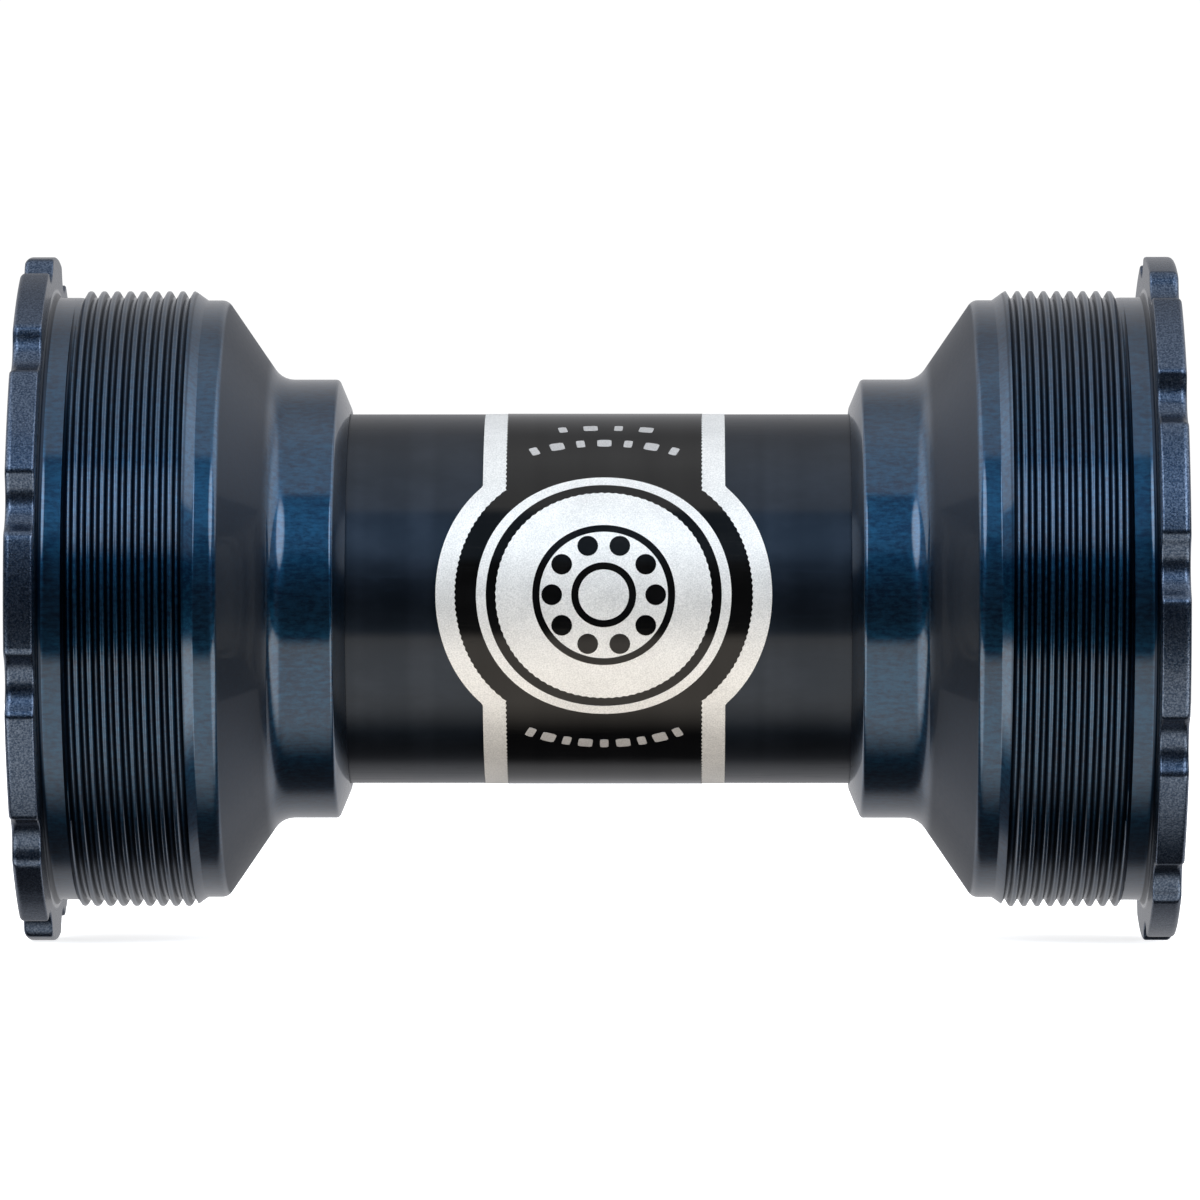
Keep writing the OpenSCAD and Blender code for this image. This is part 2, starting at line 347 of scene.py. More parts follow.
@dataclass(frozen=True)
class NavyAnodise(Finish):
    """Clear-sealed navy anodising on turned aluminium, with a bead-blasted flange, a satin cone and painted
    shade in the thread's grooves.

    A zone's pair of lengths is where its share is 0 and where it is 1.
    """

    deep: Colour = (0.003, 0.020, 0.052)
    light: Colour = (0.007, 0.053, 0.114)
    blasted: Colour = (0.098, 0.132, 0.192)
    sunk: Colour = (0.014, 0.030, 0.062)
    satin: Colour = (0.037, 0.043, 0.055)
    # Painted shade: near-black colour laid on the thread's flanks so that the grooves read dark.
    groove_shade_colour: Colour = (0.001, 0.006, 0.016)
    rim_radius: Limits = (23.55 * MM, 23.75 * MM)
    rim_station: Limits = (43.0 * MM, 43.2 * MM)
    cone_station: Limits = (33.0 * MM, 30.0 * MM)
    cone_low: Limits = (17.0 * MM, 18.2 * MM)
    cone_high: Limits = (22.65 * MM, 22.40 * MM)
    # Where the painted groove shade lies: beyond this station along the axis, between two radii on the
    # thread's flanks.
    groove_shade_station: Limits = (30.5 * MM, 30.7 * MM)
    groove_shade_low: Limits = (23.03 * MM, 23.06 * MM)
    groove_shade_high: Limits = (23.44 * MM, 23.28 * MM)
    seal: float = 0.95

    def sockets(self, graph: SurfaceGraph) -> dict:
        """Mottled navy metal under a clear seal that is thin on the rim and the cone; the thread's flanks
        get painted shade, a near-black colour and a thinner coat.
        """
        edge = graph.fade(graph.radius, *self.rim_radius)
        rim = graph.math("MAXIMUM", edge, graph.fade(abs(graph.x), *self.rim_station))
        cone = self._zone(graph, self.cone_station, self.cone_low, self.cone_high)
        # Share of painted shade on the thread's flanks, between the root and the crest.
        groove_shade = self._zone(graph, self.groove_shade_station, self.groove_shade_low, self.groove_shade_high)
        streaks = graph.noise((1100.0, 3800.0, 3800.0), 3.0, 0.65)
        mottle = graph.noise((2200.0, 2600.0, 2600.0), 4.0, 0.7)
        clouds = graph.noise(150.0)
        marks = graph.rings(5200.0)
        grain = graph.noise(7500.0, 2.0, 0.7)
        tone = graph.fade(streaks * 0.5 + mottle * 0.35 + clouds * 0.15, 0.36, 0.64)
        turned = graph.colour_mix(tone, self.deep, self.light)
        # Painted shade: the thread's flanks are darkened towards near-black, away from the rim.
        turned = graph.colour_mix(groove_shade * (1.0 - rim) * 0.88, turned, self.groove_shade_colour)
        shell = graph.colour_mix(cone * 0.85, turned, self.satin)
        sparkle = graph.colour_mix(graph.fade(grain, 0.35, 0.7), self.sunk, self.blasted)
        height = (marks * 0.45 + streaks * 0.2 + mottle * 0.2) * (1.0 - rim) + grain * rim * 1.7
        # The coat is thinner on the blasted rim and the satin cone, and on the thread's flanks as part of
        # the painted groove shade.
        thin_coat_and_groove_shade = graph.math("MAXIMUM", graph.math("MAXIMUM", rim * 0.7, cone * 0.85), groove_shade * 0.75)
        return {
            "Base Color": graph.colour_mix(rim, shell, sparkle),
            "Metallic": 1.0,
            "Roughness": 0.33 + (mottle - 0.5) * 0.12 - rim * 0.05 + cone * 0.11,
            "Normal": graph.bump(height, 0.01 * MM, 0.6),
            "Coat Weight": (self.seal + (clouds - 0.5) * 0.1) * (1.0 - thin_coat_and_groove_shade),
            "Coat Roughness": 0.07,
            "Coat IOR": 1.5,
        }

    @staticmethod
    def _zone(graph: SurfaceGraph, along: Limits, low: Limits, high: Limits) -> Term:
        """Share of a zone with limits along the axis and on its low and its high radius."""
        share = graph.fade(abs(graph.x), *along) * graph.fade(graph.radius, *low)
        return share * graph.fade(graph.radius, *high)


@dataclass(frozen=True)
class GroundSteel(Finish):
    """Steel with fine marks round the axis, as grinding or polishing leaves them."""

    dark: Colour = (0.34, 0.35, 0.37)
    light: Colour = (0.56, 0.57, 0.59)
    roughness: float = 0.24
    marks_per_metre: float = 9000.0

    def sockets(self, graph: SurfaceGraph) -> dict:
        """Bare metal with ring marks, faint stains and a thin film of grease."""
        marks = graph.rings(self.marks_per_metre)
        stains = graph.noise(420.0, 4.0, 0.6)
        film = graph.noise(160.0, 2.0)
        return {
            "Base Color": graph.colour_mix(marks * 0.5 + stains * 0.5, self.dark, self.light),
            "Metallic": 1.0,
            "Roughness": self.roughness + (stains - 0.5) * 0.14 + (marks - 0.5) * 0.1,
            "Normal": graph.bump(marks, 0.004 * MM, 0.4),
            "Coat Weight": graph.fade(film, 0.45, 0.7) * 0.3,
            "Coat Roughness": 0.25,
        }


@dataclass(frozen=True)
class MouldedPlastic(Finish):
    """Moulded plastic with a fine eroded texture and faint flow marks."""

    dark: Colour = (0.010, 0.010, 0.012)
    light: Colour = (0.024, 0.024, 0.027)
    roughness: float = 0.42
    grains: float = 5200.0
    relief: float = 0.012 * MM

    def sockets(self, graph: SurfaceGraph) -> dict:
        """Grainy plastic with slow changes of tone along the flow."""
        grain = graph.noise((self.grains, self.grains, self.grains), 3.0, 0.65)
        flow = graph.noise((90.0, 320.0, 320.0), 3.0, 0.55)
        scuffs = graph.scratches((120.0, 900.0, 240.0), 0.012)
        return {
            "Base Color": graph.colour_mix(flow * 0.6 + grain * 0.4, self.dark, self.light),
            "Roughness": self.roughness + (grain - 0.5) * 0.2 + (flow - 0.5) * 0.1 + scuffs * 0.1,
            "Normal": graph.bump(grain + scuffs * 0.3, self.relief, 0.5),
        }


@dataclass(frozen=True)
class SealRubber(Finish):
    """Moulded black rubber with a light bloom and dust."""

    dark: Colour = (0.006, 0.006, 0.006)
    light: Colour = (0.030, 0.030, 0.029)

    def sockets(self, graph: SurfaceGraph) -> dict:
        """Matt rubber with patches of bloom."""
        bloom = graph.noise(260.0, 5.0, 0.6)
        pores = graph.noise(6400.0, 2.0, 0.6)
        return {
            "Base Color": graph.colour_mix(graph.fade(bloom, 0.35, 0.75), self.dark, self.light),
            "Roughness": 0.55 + (bloom - 0.5) * 0.3 + (pores - 0.5) * 0.15,
            "Normal": graph.bump(pores, 0.01 * MM, 0.5),
        }


@dataclass(frozen=True)
class GlossBlack(Finish):
    """Gloss black surface with faint rub marks round and along it."""

    base: Colour = (0.012, 0.019, 0.030)
    worn: Colour = (0.020, 0.029, 0.044)
    metallic: float = 1.0
    roughness: float = 0.36
    coat: float = 0.42
    coat_roughness: float = 0.12
    ior: float = 1.5

    def sockets(self, graph: SurfaceGraph) -> dict:
        """Black gloss with cloudy wear, fine lengthwise scratches and soft bands round it."""
        clouds = graph.noise((140.0, 260.0, 260.0), 4.0, 0.6)
        bands = graph.rings(420.0, 2.0)
        lines = graph.scratches((60.0, 1500.0, 1500.0), 0.010)
        worn = graph.fade(clouds * 0.6 + bands * 0.4, 0.4, 0.68)
        return {
            "Base Color": graph.colour_mix(worn, self.base, self.worn),
            "Metallic": self.metallic,
            "Roughness": self.roughness + (clouds - 0.5) * 0.12 + (bands - 0.5) * 0.12 + lines * 0.08,
            "Normal": graph.bump(lines * 0.5 + clouds, 0.004 * MM, 0.4),
            "Coat Weight": self.coat + (bands - 0.5) * 0.2,
            "Coat Roughness": self.coat_roughness,
            "IOR": self.ior,
        }


@dataclass(frozen=True)
class SilverPrint(Finish):
    """Silver metallic print: fine bright flakes in a satin ground."""

    ground: Colour = (0.60, 0.61, 0.605)
    flake: Colour = (0.84, 0.845, 0.835)
    metallic: float = 0.40
    roughness: float = 0.44

    def sockets(self, graph: SurfaceGraph) -> dict:
        """Satin ground with flakes of 0.1 mm and soft clouds of wear."""
        flakes = graph.noise(9500.0, 1.0, 0.8)
        clouds = graph.noise(380.0, 3.0, 0.6)
        tone = graph.fade(flakes * 0.75 + clouds * 0.25, 0.3, 0.7)
        return {
            "Base Color": graph.colour_mix(tone, self.ground, self.flake),
            "Metallic": self.metallic + (flakes - 0.5) * 0.2,
            "Roughness": self.roughness + (flakes - 0.5) * 0.25 + (clouds - 0.5) * 0.08,
            "Normal": graph.bump(flakes, 0.006 * MM, 0.4),
        }


class Finishes:
    """Every finish on the bottom bracket."""

    CUP = NavyAnodise("navy_anodised_aluminium", "cup_anodised")
    RACE = GroundSteel("ground_race_steel", "race_steel")
    BALL = GroundSteel(
        "polished_ball_steel", "ball_steel", (0.50, 0.51, 0.53), (0.66, 0.67, 0.69), 0.10, 3000.0,
    )
    SPRING = GroundSteel(
        "spring_steel_wire", "spring_steel", (0.14, 0.14, 0.15), (0.30, 0.30, 0.31), 0.34, 6000.0,
    )
    CAGE = MouldedPlastic("cage_nylon", "cage_nylon", (0.42, 0.34, 0.19), (0.60, 0.52, 0.33), 0.45)
    SEAL = SealRubber("bearing_seal_rubber", "seal_rubber")
    O_RING = SealRubber("o_ring_rubber", "o_ring_rubber", (0.004, 0.004, 0.004), (0.014, 0.014, 0.014))
    BUSHING = MouldedPlastic("bushing_plastic", "bushing_plastic")
    COVER = MouldedPlastic(
        "dust_cover_plastic", "cover_plastic", (0.012, 0.012, 0.013), (0.030, 0.030, 0.033), 0.36,
    )
    SLEEVE = GlossBlack("gloss_black_sleeve", "sleeve_black")
    BLACK_PRINT = GlossBlack(
        "gloss_black_print", "sleeve_black", (0.002, 0.002, 0.002), (0.005, 0.005, 0.005),
        metallic=0.0, roughness=0.12, coat=0.1, coat_roughness=0.03, ior=1.36,
    )
    SILVER_PRINT = SilverPrint("silver_metallic_print", "label_foil")
    MARK_PRINT = SilverPrint("grey_metallic_print", "label_foil", (0.40, 0.40, 0.40), (0.56, 0.56, 0.56))


# ---------------------------------------------------------- outlines and trees


@dataclass(frozen=True)
class Corner:
    """A corner of a turned outline, with the radius that rounds it off."""

    radius: float
    station: float
    rounding: float = 0.0

    @property
    def point(self) -> Vector:
        """The corner as (station, radius)."""
        return Vector((self.station, self.radius))


@dataclass(frozen=True)
class RingPoint:
    """A point of a turned outline; on a thread it moves along the axis as it goes round."""

    station: float
    radius: float
    lead: float = 0.0
    depth: float = 0.0


def rounded(corners: Sequence[Corner], steps: int = 5, hold: float = 0.05 * MM) -> list[RingPoint]:
    """Outline through corners, with arcs where they are rounded.

    Args:
        corners: The closed outline's corners in order.
        steps: Faces along an arc.
        hold: Distance from an arc's end to the point that keeps the straight stretch flat.

    Returns:
        The outline's points.
    """
    points: list[RingPoint] = []
    for number, corner in enumerate(corners):
        if corner.rounding == 0.0:
            points.append(RingPoint(corner.station, corner.radius))
            continue
        middle = corner.point
        before = (corners[number - 1].point - middle).normalized()
        after = (corners[(number + 1) % len(corners)].point - middle).normalized()
        half = before.angle(after) / 2
        reach = corner.rounding / math.tan(half)
        centre = middle + (before + after).normalized() * corner.rounding / math.sin(half)
        first = middle + before * reach - centre
        last = middle + after * reach - centre
        ways = [first.slerp(last, step / steps).normalized() for step in range(steps + 1)]
        arc = [way * corner.rounding + centre for way in ways]
        held = [middle + before * (reach + hold), *arc, middle + after * (reach + hold)]
        points += [RingPoint(place.x, place.y) for place in held]
    return points


class Tree:
    """A Geometry Nodes tree with named inputs, made once and run on one piece at a time."""

    title: str = ""
    inputs: dict[str, str] = {}
    weld: float = 0.001 * MM

    def __init__(self) -> None:
        """Build the tree."""
        self.tree = bpy.data.node_groups.new(self.title, "GeometryNodeTree")
        self.graph = Graph(self.tree)
        self.tree.interface.new_socket("Geometry", in_out="OUTPUT", socket_type="NodeSocketGeometry")
        self.tree.interface.new_socket("Geometry", in_out="INPUT", socket_type="NodeSocketGeometry")
        self.keys: dict[str, str] = {}
        for name, kind in {**self.inputs, "Material": "Material"}.items():
            socket = self.tree.interface.new_socket(name, in_out="INPUT", socket_type=f"NodeSocket{kind}")
            self.keys[name] = socket.identifier
        source = self.graph.node("NodeGroupInput")
        self.given = {socket.name: Term(self.graph, socket) for socket in source.outputs if socket.name}
        shaped = self.shape(self.given["Geometry"])
        real = self.graph.add("GeometryNodeRealizeInstances", {}, {"Geometry": shaped})
        dressed = {"Geometry": real, "Material": self.given["Material"]}
        final = self.graph.add("GeometryNodeSetMaterial", {}, dressed)
        self.graph.node("NodeGroupOutput", {}, {"Geometry": final})

    def shape(self, geometry: Term) -> Term:
        """Nodes that make the piece.

        Args:
            geometry: The mesh that the tree is run on.

        Returns:
            The piece's geometry.
        """
        raise NotImplementedError

    def moved(self, geometry: Term, place: Term) -> Term:
        """Geometry with its points moved to their places and the doubled ones welded."""
        placed = self.graph.add("GeometryNodeSetPosition", {}, {"Geometry": geometry, "Position": place})
        return self.graph.add("GeometryNodeMergeByDistance", {}, {"Geometry": placed, "Distance": self.weld})

    def smooth(self, geometry: Term) -> Term:
        """Geometry with smooth faces."""
        return self.graph.add("GeometryNodeSetShadeSmooth", {}, {"Geometry": geometry, "Shade Smooth": True})

    def run(self, name: str, base: bpy.types.Mesh, finish: Finish,
            values: dict[str, float]) -> bpy.types.Mesh:
        """Make one piece's mesh.

        Args:
            name: The mesh's name.
            base: The mesh that the tree starts from, which is used up.
            finish: The piece's finish.
            values: The tree's inputs by name.

        Returns:
            A plain mesh with no modifier.
        """
        holder = new_object(f"{name}_source", base)
        modifier = holder.modifiers.new(self.title, "NODES")
        modifier.node_group = self.tree
        for key, value in {**values, "Material": finish.material()}.items():
            modifier[self.keys[key]] = value
        holder.update_tag()
        depsgraph = bpy.context.evaluated_depsgraph_get()
        mesh = bpy.data.meshes.new_from_object(holder.evaluated_get(depsgraph), depsgraph=depsgraph)
        mesh.name = name
        holder.modifiers.clear()
        bpy.data.objects.remove(holder)
        bpy.data.meshes.remove(base)
        return mesh


class TurnedTree(Tree):
    """Sweeps an outline round the spindle axis."""

    title = "Turned outline"
    inputs = {"Columns": "Int", "Side": "Float"}

    def shape(self, geometry: Term) -> Term:
        """Grid of the outline's points by columns, rolled up round the axis and welded shut."""
        graph, given = self.graph, self.given
        count = graph.add("GeometryNodeAttributeDomainSize", {}, {"Geometry": geometry}, "Point Count")
        across = given["Columns"] + 1.0
        grid = graph.add("GeometryNodeMeshGrid", {}, {"Vertices X": count, "Vertices Y": across}, "Mesh")
        index = graph.add("GeometryNodeInputIndex")
        row = graph.math("FLOOR", (index + 0.5) / across)
        share = (index - row * across) / given["Columns"]
        place = self.sample(geometry, row, graph.add("GeometryNodeInputPosition"), "FLOAT_VECTOR")
        station, radius, _ = graph.split(place)
        station, radius = self.adjust(geometry, row, share, station, radius)
        rolled = graph.around(station * given["Side"], radius, share * FULL_TURN)
        flip = {"Mesh": self.moved(grid, rolled), "Selection": given["Side"] > 0.0}
        return self.smooth(graph.add("GeometryNodeFlipFaces", {}, flip))

    def sample(self, geometry: Term, row: Term, value: Term, kind: str) -> Term:
        """What a value of the given kind is at the outline's point of a row."""
        on_row = {"Geometry": geometry, "Value": value, "Index": row}
        return self.graph.add("GeometryNodeSampleIndex", {"data_type": kind}, on_row)

    def adjust(self, geometry: Term, row: Term, share: Term, station: Term,
               radius: Term) -> tuple[Term, Term]:
        """Change a point of the outline as it goes round; a plain turned piece has no change.

        Args:
            geometry: The outline.
            row: Number of the outline's point.
            share: Share of the full turn, from 0 to 1.
            station: The point's station.
            radius: The point's radius.

        Returns:
            The new station and radius.
        """
        return station, radius

    def turn(self, name: str, points: Sequence[RingPoint], finish: Finish, side: Side,
             columns: int = 192, **values: float) -> bpy.types.Mesh:
        """Make a turned piece.

        Args:
            name: The mesh's name.
            points: The closed outline's points, clockwise with the station to the right and radius up.
            finish: The piece's finish.
            side: The side that the stations count towards.
            columns: Faces round the axis.
            **values: The tree's other inputs, with underscores for spaces.

        Returns:
            The piece's mesh.
        """
        loop = [*points, points[0]]
        base = bpy.data.meshes.new(f"{name}_outline")
        edges = [(number, number + 1) for number in range(len(loop) - 1)]
        base.from_pydata([(point.station, point.radius, 0.0) for point in loop], edges, [])
        for key in ("lead", "depth"):
            layer = base.attributes.new(key, "FLOAT", "POINT")
            layer.data.foreach_set("value", [getattr(point, key) for point in loop])
        named = {key.replace("_", " "): value for key, value in values.items()}
        return self.run(name, base, finish, {"Columns": columns, "Side": float(side.value), **named})


class CupTree(TurnedTree):
    """Sweeps a cup's outline, cuts the wrench notches and winds the thread."""

    title = "Notched and threaded cup"
    inputs = {
        **TurnedTree.inputs,
        **dict.fromkeys(("Notches", "First Notch", "Rim Radius", "Notch Depth", "Cutter Radius"), "Float"),
        **dict.fromkeys(("Edge Softness", "Pitch", "Crest Radius", "Thread Start", "Thread End"), "Float"),
        **dict.fromkeys(("Start Radius", "End Radius", "Start Slope", "End Slope"), "Float"),
    }
    still_depth = 1.8 * MM
    moved_depth = 0.5 * MM

    def adjust(self, geometry: Term, row: Term, share: Term, station: Term,
               radius: Term) -> tuple[Term, Term]:
        """Sink the rim at the notches and lead the thread's points along their helix."""
        lead, depth = (self.sample(geometry, row, self._stored(key), "FLOAT") for key in ("lead", "depth"))
        return self._threaded(share, station, self._notched(share, radius), lead, depth)

    def _stored(self, key: str) -> Term:
        """A value that the outline's points carry."""
        return self.graph.add("GeometryNodeInputNamedAttribute", {"data_type": "FLOAT"}, {"Name": key})

    def _notched(self, share: Term, radius: Term) -> Term:
        """Cut the notches with a round cutter that stands parallel to the axis.

        Args:
            share: Share of the full turn, from 0 to 1.
            radius: The point's radius.

        Returns:
            The new radius.
        """
        graph, given = self.graph, self.given
        gap = FULL_TURN / given["Notches"]
        past = share * FULL_TURN - given["First Notch"]
        off = past - gap * graph.math("ROUND", past / gap)
        cutter = given["Cutter Radius"]
        centre = given["Rim Radius"] - given["Notch Depth"] + cutter
        sideways = centre * graph.math("SINE", off)
        reach = graph.math("SQRT", graph.math("MAXIMUM", cutter * cutter - sideways * sideways, 0.0))
        floor = centre * graph.math("COSINE", off) - reach
        rim = graph.math("SMOOTH_MIN", given["Rim Radius"], floor, given["Edge Softness"])
        below = given["Rim Radius"] - radius
        moves = (self.still_depth - below) / (self.still_depth - self.moved_depth)
        return radius - (given["Rim Radius"] - rim) * graph.hold(moves, 0.0, 1.0)

    def _threaded(self, share: Term, station: Term, radius: Term, lead: Term,
                  depth: Term) -> tuple[Term, Term]:
        """Wind a point of the thread along its helix; other points stay where they are.

        Args:
            share: Share of the full turn, from 0 to 1.
            station: The point's station.
            radius: The point's radius.
            lead: 1 for a point of the thread, otherwise 0.
            depth: How far the point lies under the crest.

        Returns:
            The new station and radius.
        """
        graph, given = self.graph, self.given
        free = station + share * given["Pitch"]
        start, end = given["Thread Start"], given["Thread End"]
        held = graph.hold(free, start, end)
        cut = depth * (free > start) * (free < end)
        start_cone = given["Start Radius"] + (held - start) * given["Start Slope"]
        end_cone = given["End Radius"] + (end - held) * given["End Slope"]
        blank = graph.math("MINIMUM", graph.math("MINIMUM", start_cone, end_cone), given["Crest Radius"])
        wound = graph.math("MINIMUM", blank, given["Crest Radius"] - cut)
        return station + (held - station) * lead, radius + (wound - radius) * lead


class WrapTree(Tree):
    """Wraps a flat sheet round the spindle axis, with its height as distance from the tube."""

    title = "Wrap round the sleeve"
    inputs = {"Tube Radius": "Float", "Turn": "Float", "Shift": "Float"}
    weld = 0.0005 * MM

    def shape(self, geometry: Term) -> Term:
        """Bend the sheet's Y round the tube, and its Z outward."""
        graph, given = self.graph, self.given
        x, along, height = graph.split(graph.add("GeometryNodeInputPosition"))
        turn = along / given["Tube Radius"] + given["Turn"]
        bent = graph.around(x + given["Shift"], height + given["Tube Radius"], turn)
        return self.smooth(self.moved(geometry, bent))


class BallTree(Tree):
    """Sets balls evenly round the spindle axis."""

    title = "Ring of balls"
    inputs = {"Balls": "Int", "Pitch Radius": "Float", "Ball Radius": "Float", "Station": "Float"}
    segments = 40
    rings = 20

    def shape(self, geometry: Term) -> Term:
        """Points on the pitch circle, with a ball on each."""
        graph, given = self.graph, self.given
        turn = graph.add("GeometryNodeInputIndex") / given["Balls"] * FULL_TURN
        place = graph.around(given["Station"], given["Pitch Radius"], turn)
        points = graph.add("GeometryNodePoints", {}, {"Count": given["Balls"], "Position": place})
        sphere = {"Segments": self.segments, "Rings": self.rings, "Radius": given["Ball Radius"]}
        ball = self.smooth(graph.add("GeometryNodeMeshUVSphere", {}, sphere, "Mesh"))
        return graph.add("GeometryNodeInstanceOnPoints", {}, {"Points": points, "Instance": ball})


class Workshop:
    """The trees that pieces are made with, and the bench where they are finished."""

    def __init__(self) -> None:
        """Build the trees."""
        self.turned = TurnedTree()
        self.cup = CupTree()
        self.wrap = WrapTree()
        self.balls = BallTree()

    @staticmethod
    def publish(mesh: bpy.types.Mesh, body: str, finish: Finish, replaced: Sequence[str] = (),
                crease: float = 30.0) -> bpy.types.Object:
        """Turn a mesh into a piece that rides on a body.

        Args:
            mesh: The piece's mesh, with its name.
            body: The body that the piece moves with.
            finish: The piece's finish.
            replaced: CAD nodes that the piece stands for.
            crease: Angle in degrees past which an edge is sharp.

        Returns:
            The piece.
        """
        mesh.set_sharp_from_angle(angle=math.radians(crease))
        mesh.materials.clear()
        mesh.materials.append(finish.material())
        piece = new_object(mesh.name, mesh)
        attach(piece, body)
        if replaced:
            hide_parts(*replaced)
        log.info("%s: %d faces on %s", piece.name, len(mesh.polygons), body)
        return piece

    @staticmethod
    def dress(node: str, finish: Finish) -> None:
        """Give a carried-over CAD node its finish.

        Args:
            node: The node's name.
            finish: The finish.
        """
        part = bpy.data.objects[node]
        part.data.materials.clear()
        part.data.materials.append(finish.material())
        log.info("%s: %s", node, finish.name)


# --------------------------------------------------------------- sub-assemblies


@dataclass
class ThreadedCup:
    """Aluminium cup: notched flange, relief, thread, neck, cone, collar and nose, bored inside.

    The thread's crest, flank and root widths are shares of the pitch; shoulder and rise are shares of
    its depth.
    """

    shop: Workshop
    side: Side
    first_notch: float
    notches: int = 12
    columns_per_notch: int = 45
    notch_depth: float = 1.35 * MM
    cutter_radius: float = 2.7 * MM
    edge_softness: float = 0.7 * MM
    flange_thickness: float = 2.2 * MM
    relief_radius: float = 23.0 * MM
    relief_length: float = 1.8 * MM
    crest_radius: float = 23.5 * MM
    thread_length: float = 9.1 * MM
    slope_length: float = 0.3 * MM
    pitch: float = 1.0 * MM
    thread_depth: float = 0.56 * MM
    crest_half: float = 0.065
    edge: float = 0.06
    root_half: float = 0.045
    root_round: float = 0.05
    shoulder: float = 0.06
    rise: float = 0.08
    run_out_radius: float = 23.3 * MM
    run_out_length: float = 0.7 * MM
    neck_radius: float = 22.8 * MM
    neck_length: float = 2.2 * MM
    cone_angle: float = math.radians(55.6)
    collar_radius: float = 16.75 * MM
    nose_length: float = 0.9 * MM
    nose_land: float = 0.2 * MM
    nose_chamfer: float = 0.25 * MM
    sleeve_gap: float = 0.05 * MM
    sleeve_room: float = 1.25 * MM
    groove_gap: float = 0.03 * MM
    groove_room: float = 0.2 * MM
    passage_radius: float = 13.05 * MM
    passage_length: float = 0.95 * MM
    bell_length: float = 3.0 * MM
    race_step: float = 1.7 * MM
    bearing_seat_length: float = 8.0 * MM
    cover_seat_radius: float = 19.5 * MM
    mouth_chamfer: float = 0.3 * MM

    def __post_init__(self) -> None:
        """Take the outline's stations and the flange's radius from the CAD cup."""
        self.inboard, self.outboard = self.side.extent("cup")
        self.rim = self.side.reach("cup")
        self.flange_in = self.outboard - self.flange_thickness
        self.thread_end = self.flange_in - self.relief_length
        self.thread_start = self.thread_end - self.thread_length

    def make(self) -> None:
        """Turn the cup, notch its flange and wind its thread."""
        name = self.side.named("cup")
        mesh = self.shop.cup.turn(
            f"{name}_shell", self._outline(), Finishes.CUP, self.side,
            columns=self.notches * self.columns_per_notch,
            Notches=float(self.notches),
            First_Notch=self.first_notch,
            Rim_Radius=self.rim,
            Notch_Depth=self.notch_depth,
            Cutter_Radius=self.cutter_radius,
            Edge_Softness=self.edge_softness,
            Pitch=self.pitch,
            Crest_Radius=self.crest_radius,
            Thread_Start=self.thread_start,
            Thread_End=self.thread_end,
            Start_Radius=self.run_out_radius,
            End_Radius=self.relief_radius,
            Start_Slope=(self.crest_radius - self.run_out_radius) / self.slope_length,
            End_Slope=(self.crest_radius - self.relief_radius) / self.slope_length,
        )
        self.shop.publish(mesh, self.side.named("cup_group"), Finishes.CUP, [name], crease=42.0)

    def _outline(self) -> list[RingPoint]:
        """The cup's outline, from the mouth over the outside to the nose and back through the bores.

        Returns:
            The outline's points.
        """
        still = self.rim - CupTree.still_depth
        neck_in = self.thread_start - self.neck_length
        cone_length = (self.neck_radius - self.collar_radius) / math.tan(self.cone_angle)
        smooth = rounded([
            Corner(self.cover_seat_radius + self.mouth_chamfer, self.outboard),
            Corner(still, self.outboard),
            Corner(self.rim, self.outboard, 0.45 * MM),
            Corner(self.rim, self.flange_in, 0.2 * MM),
            Corner(still, self.flange_in),
            Corner(self.relief_radius, self.flange_in, 0.6 * MM),
            Corner(self.relief_radius, self.thread_end),
            Corner(self.run_out_radius, self.thread_start),
            Corner(self.neck_radius, self.thread_start - self.run_out_length, 0.2 * MM),
            Corner(self.neck_radius, neck_in, 0.8 * MM),
            Corner(self.collar_radius, neck_in - cone_length, 1.8 * MM),
            Corner(self.collar_radius, self.inboard + self.nose_length, 0.35 * MM),
            *self._bores(),
        ])
        split = next(
            number for number, point in enumerate(smooth)
            if point.radius == self.run_out_radius and point.station == self.thread_start
        )
        return [*smooth[:split], *self._thread(), *smooth[split:]]

    def _thread(self) -> list[RingPoint]:
        """Points of the thread from its outboard end to its inboard end.

        Returns:
            Points with a lead of 1, which go one pitch outboard in a full turn.
        """
        low = self.thread_depth - self.rise * self.thread_depth
        form = [
            (-self.crest_half, 0.0),
            (self.crest_half, 0.0),
            (self.crest_half + self.edge, self.shoulder * self.thread_depth),
            (0.5 - self.root_half - self.root_round, low),
            (0.5 - self.root_half, self.thread_depth),
            (0.5 + self.root_half, self.thread_depth),
            (0.5 + self.root_half + self.root_round, low),
            (1.0 - self.crest_half - self.edge, self.shoulder * self.thread_depth),
        ]
        turns = math.ceil((self.thread_end - self.thread_start) / self.pitch)
        points = [
            RingPoint(self.thread_start + (number + place) * self.pitch, self.crest_radius, 1.0, depth)
            for number in range(-1, turns)
            for place, depth in form
        ]
        return points[::-1]

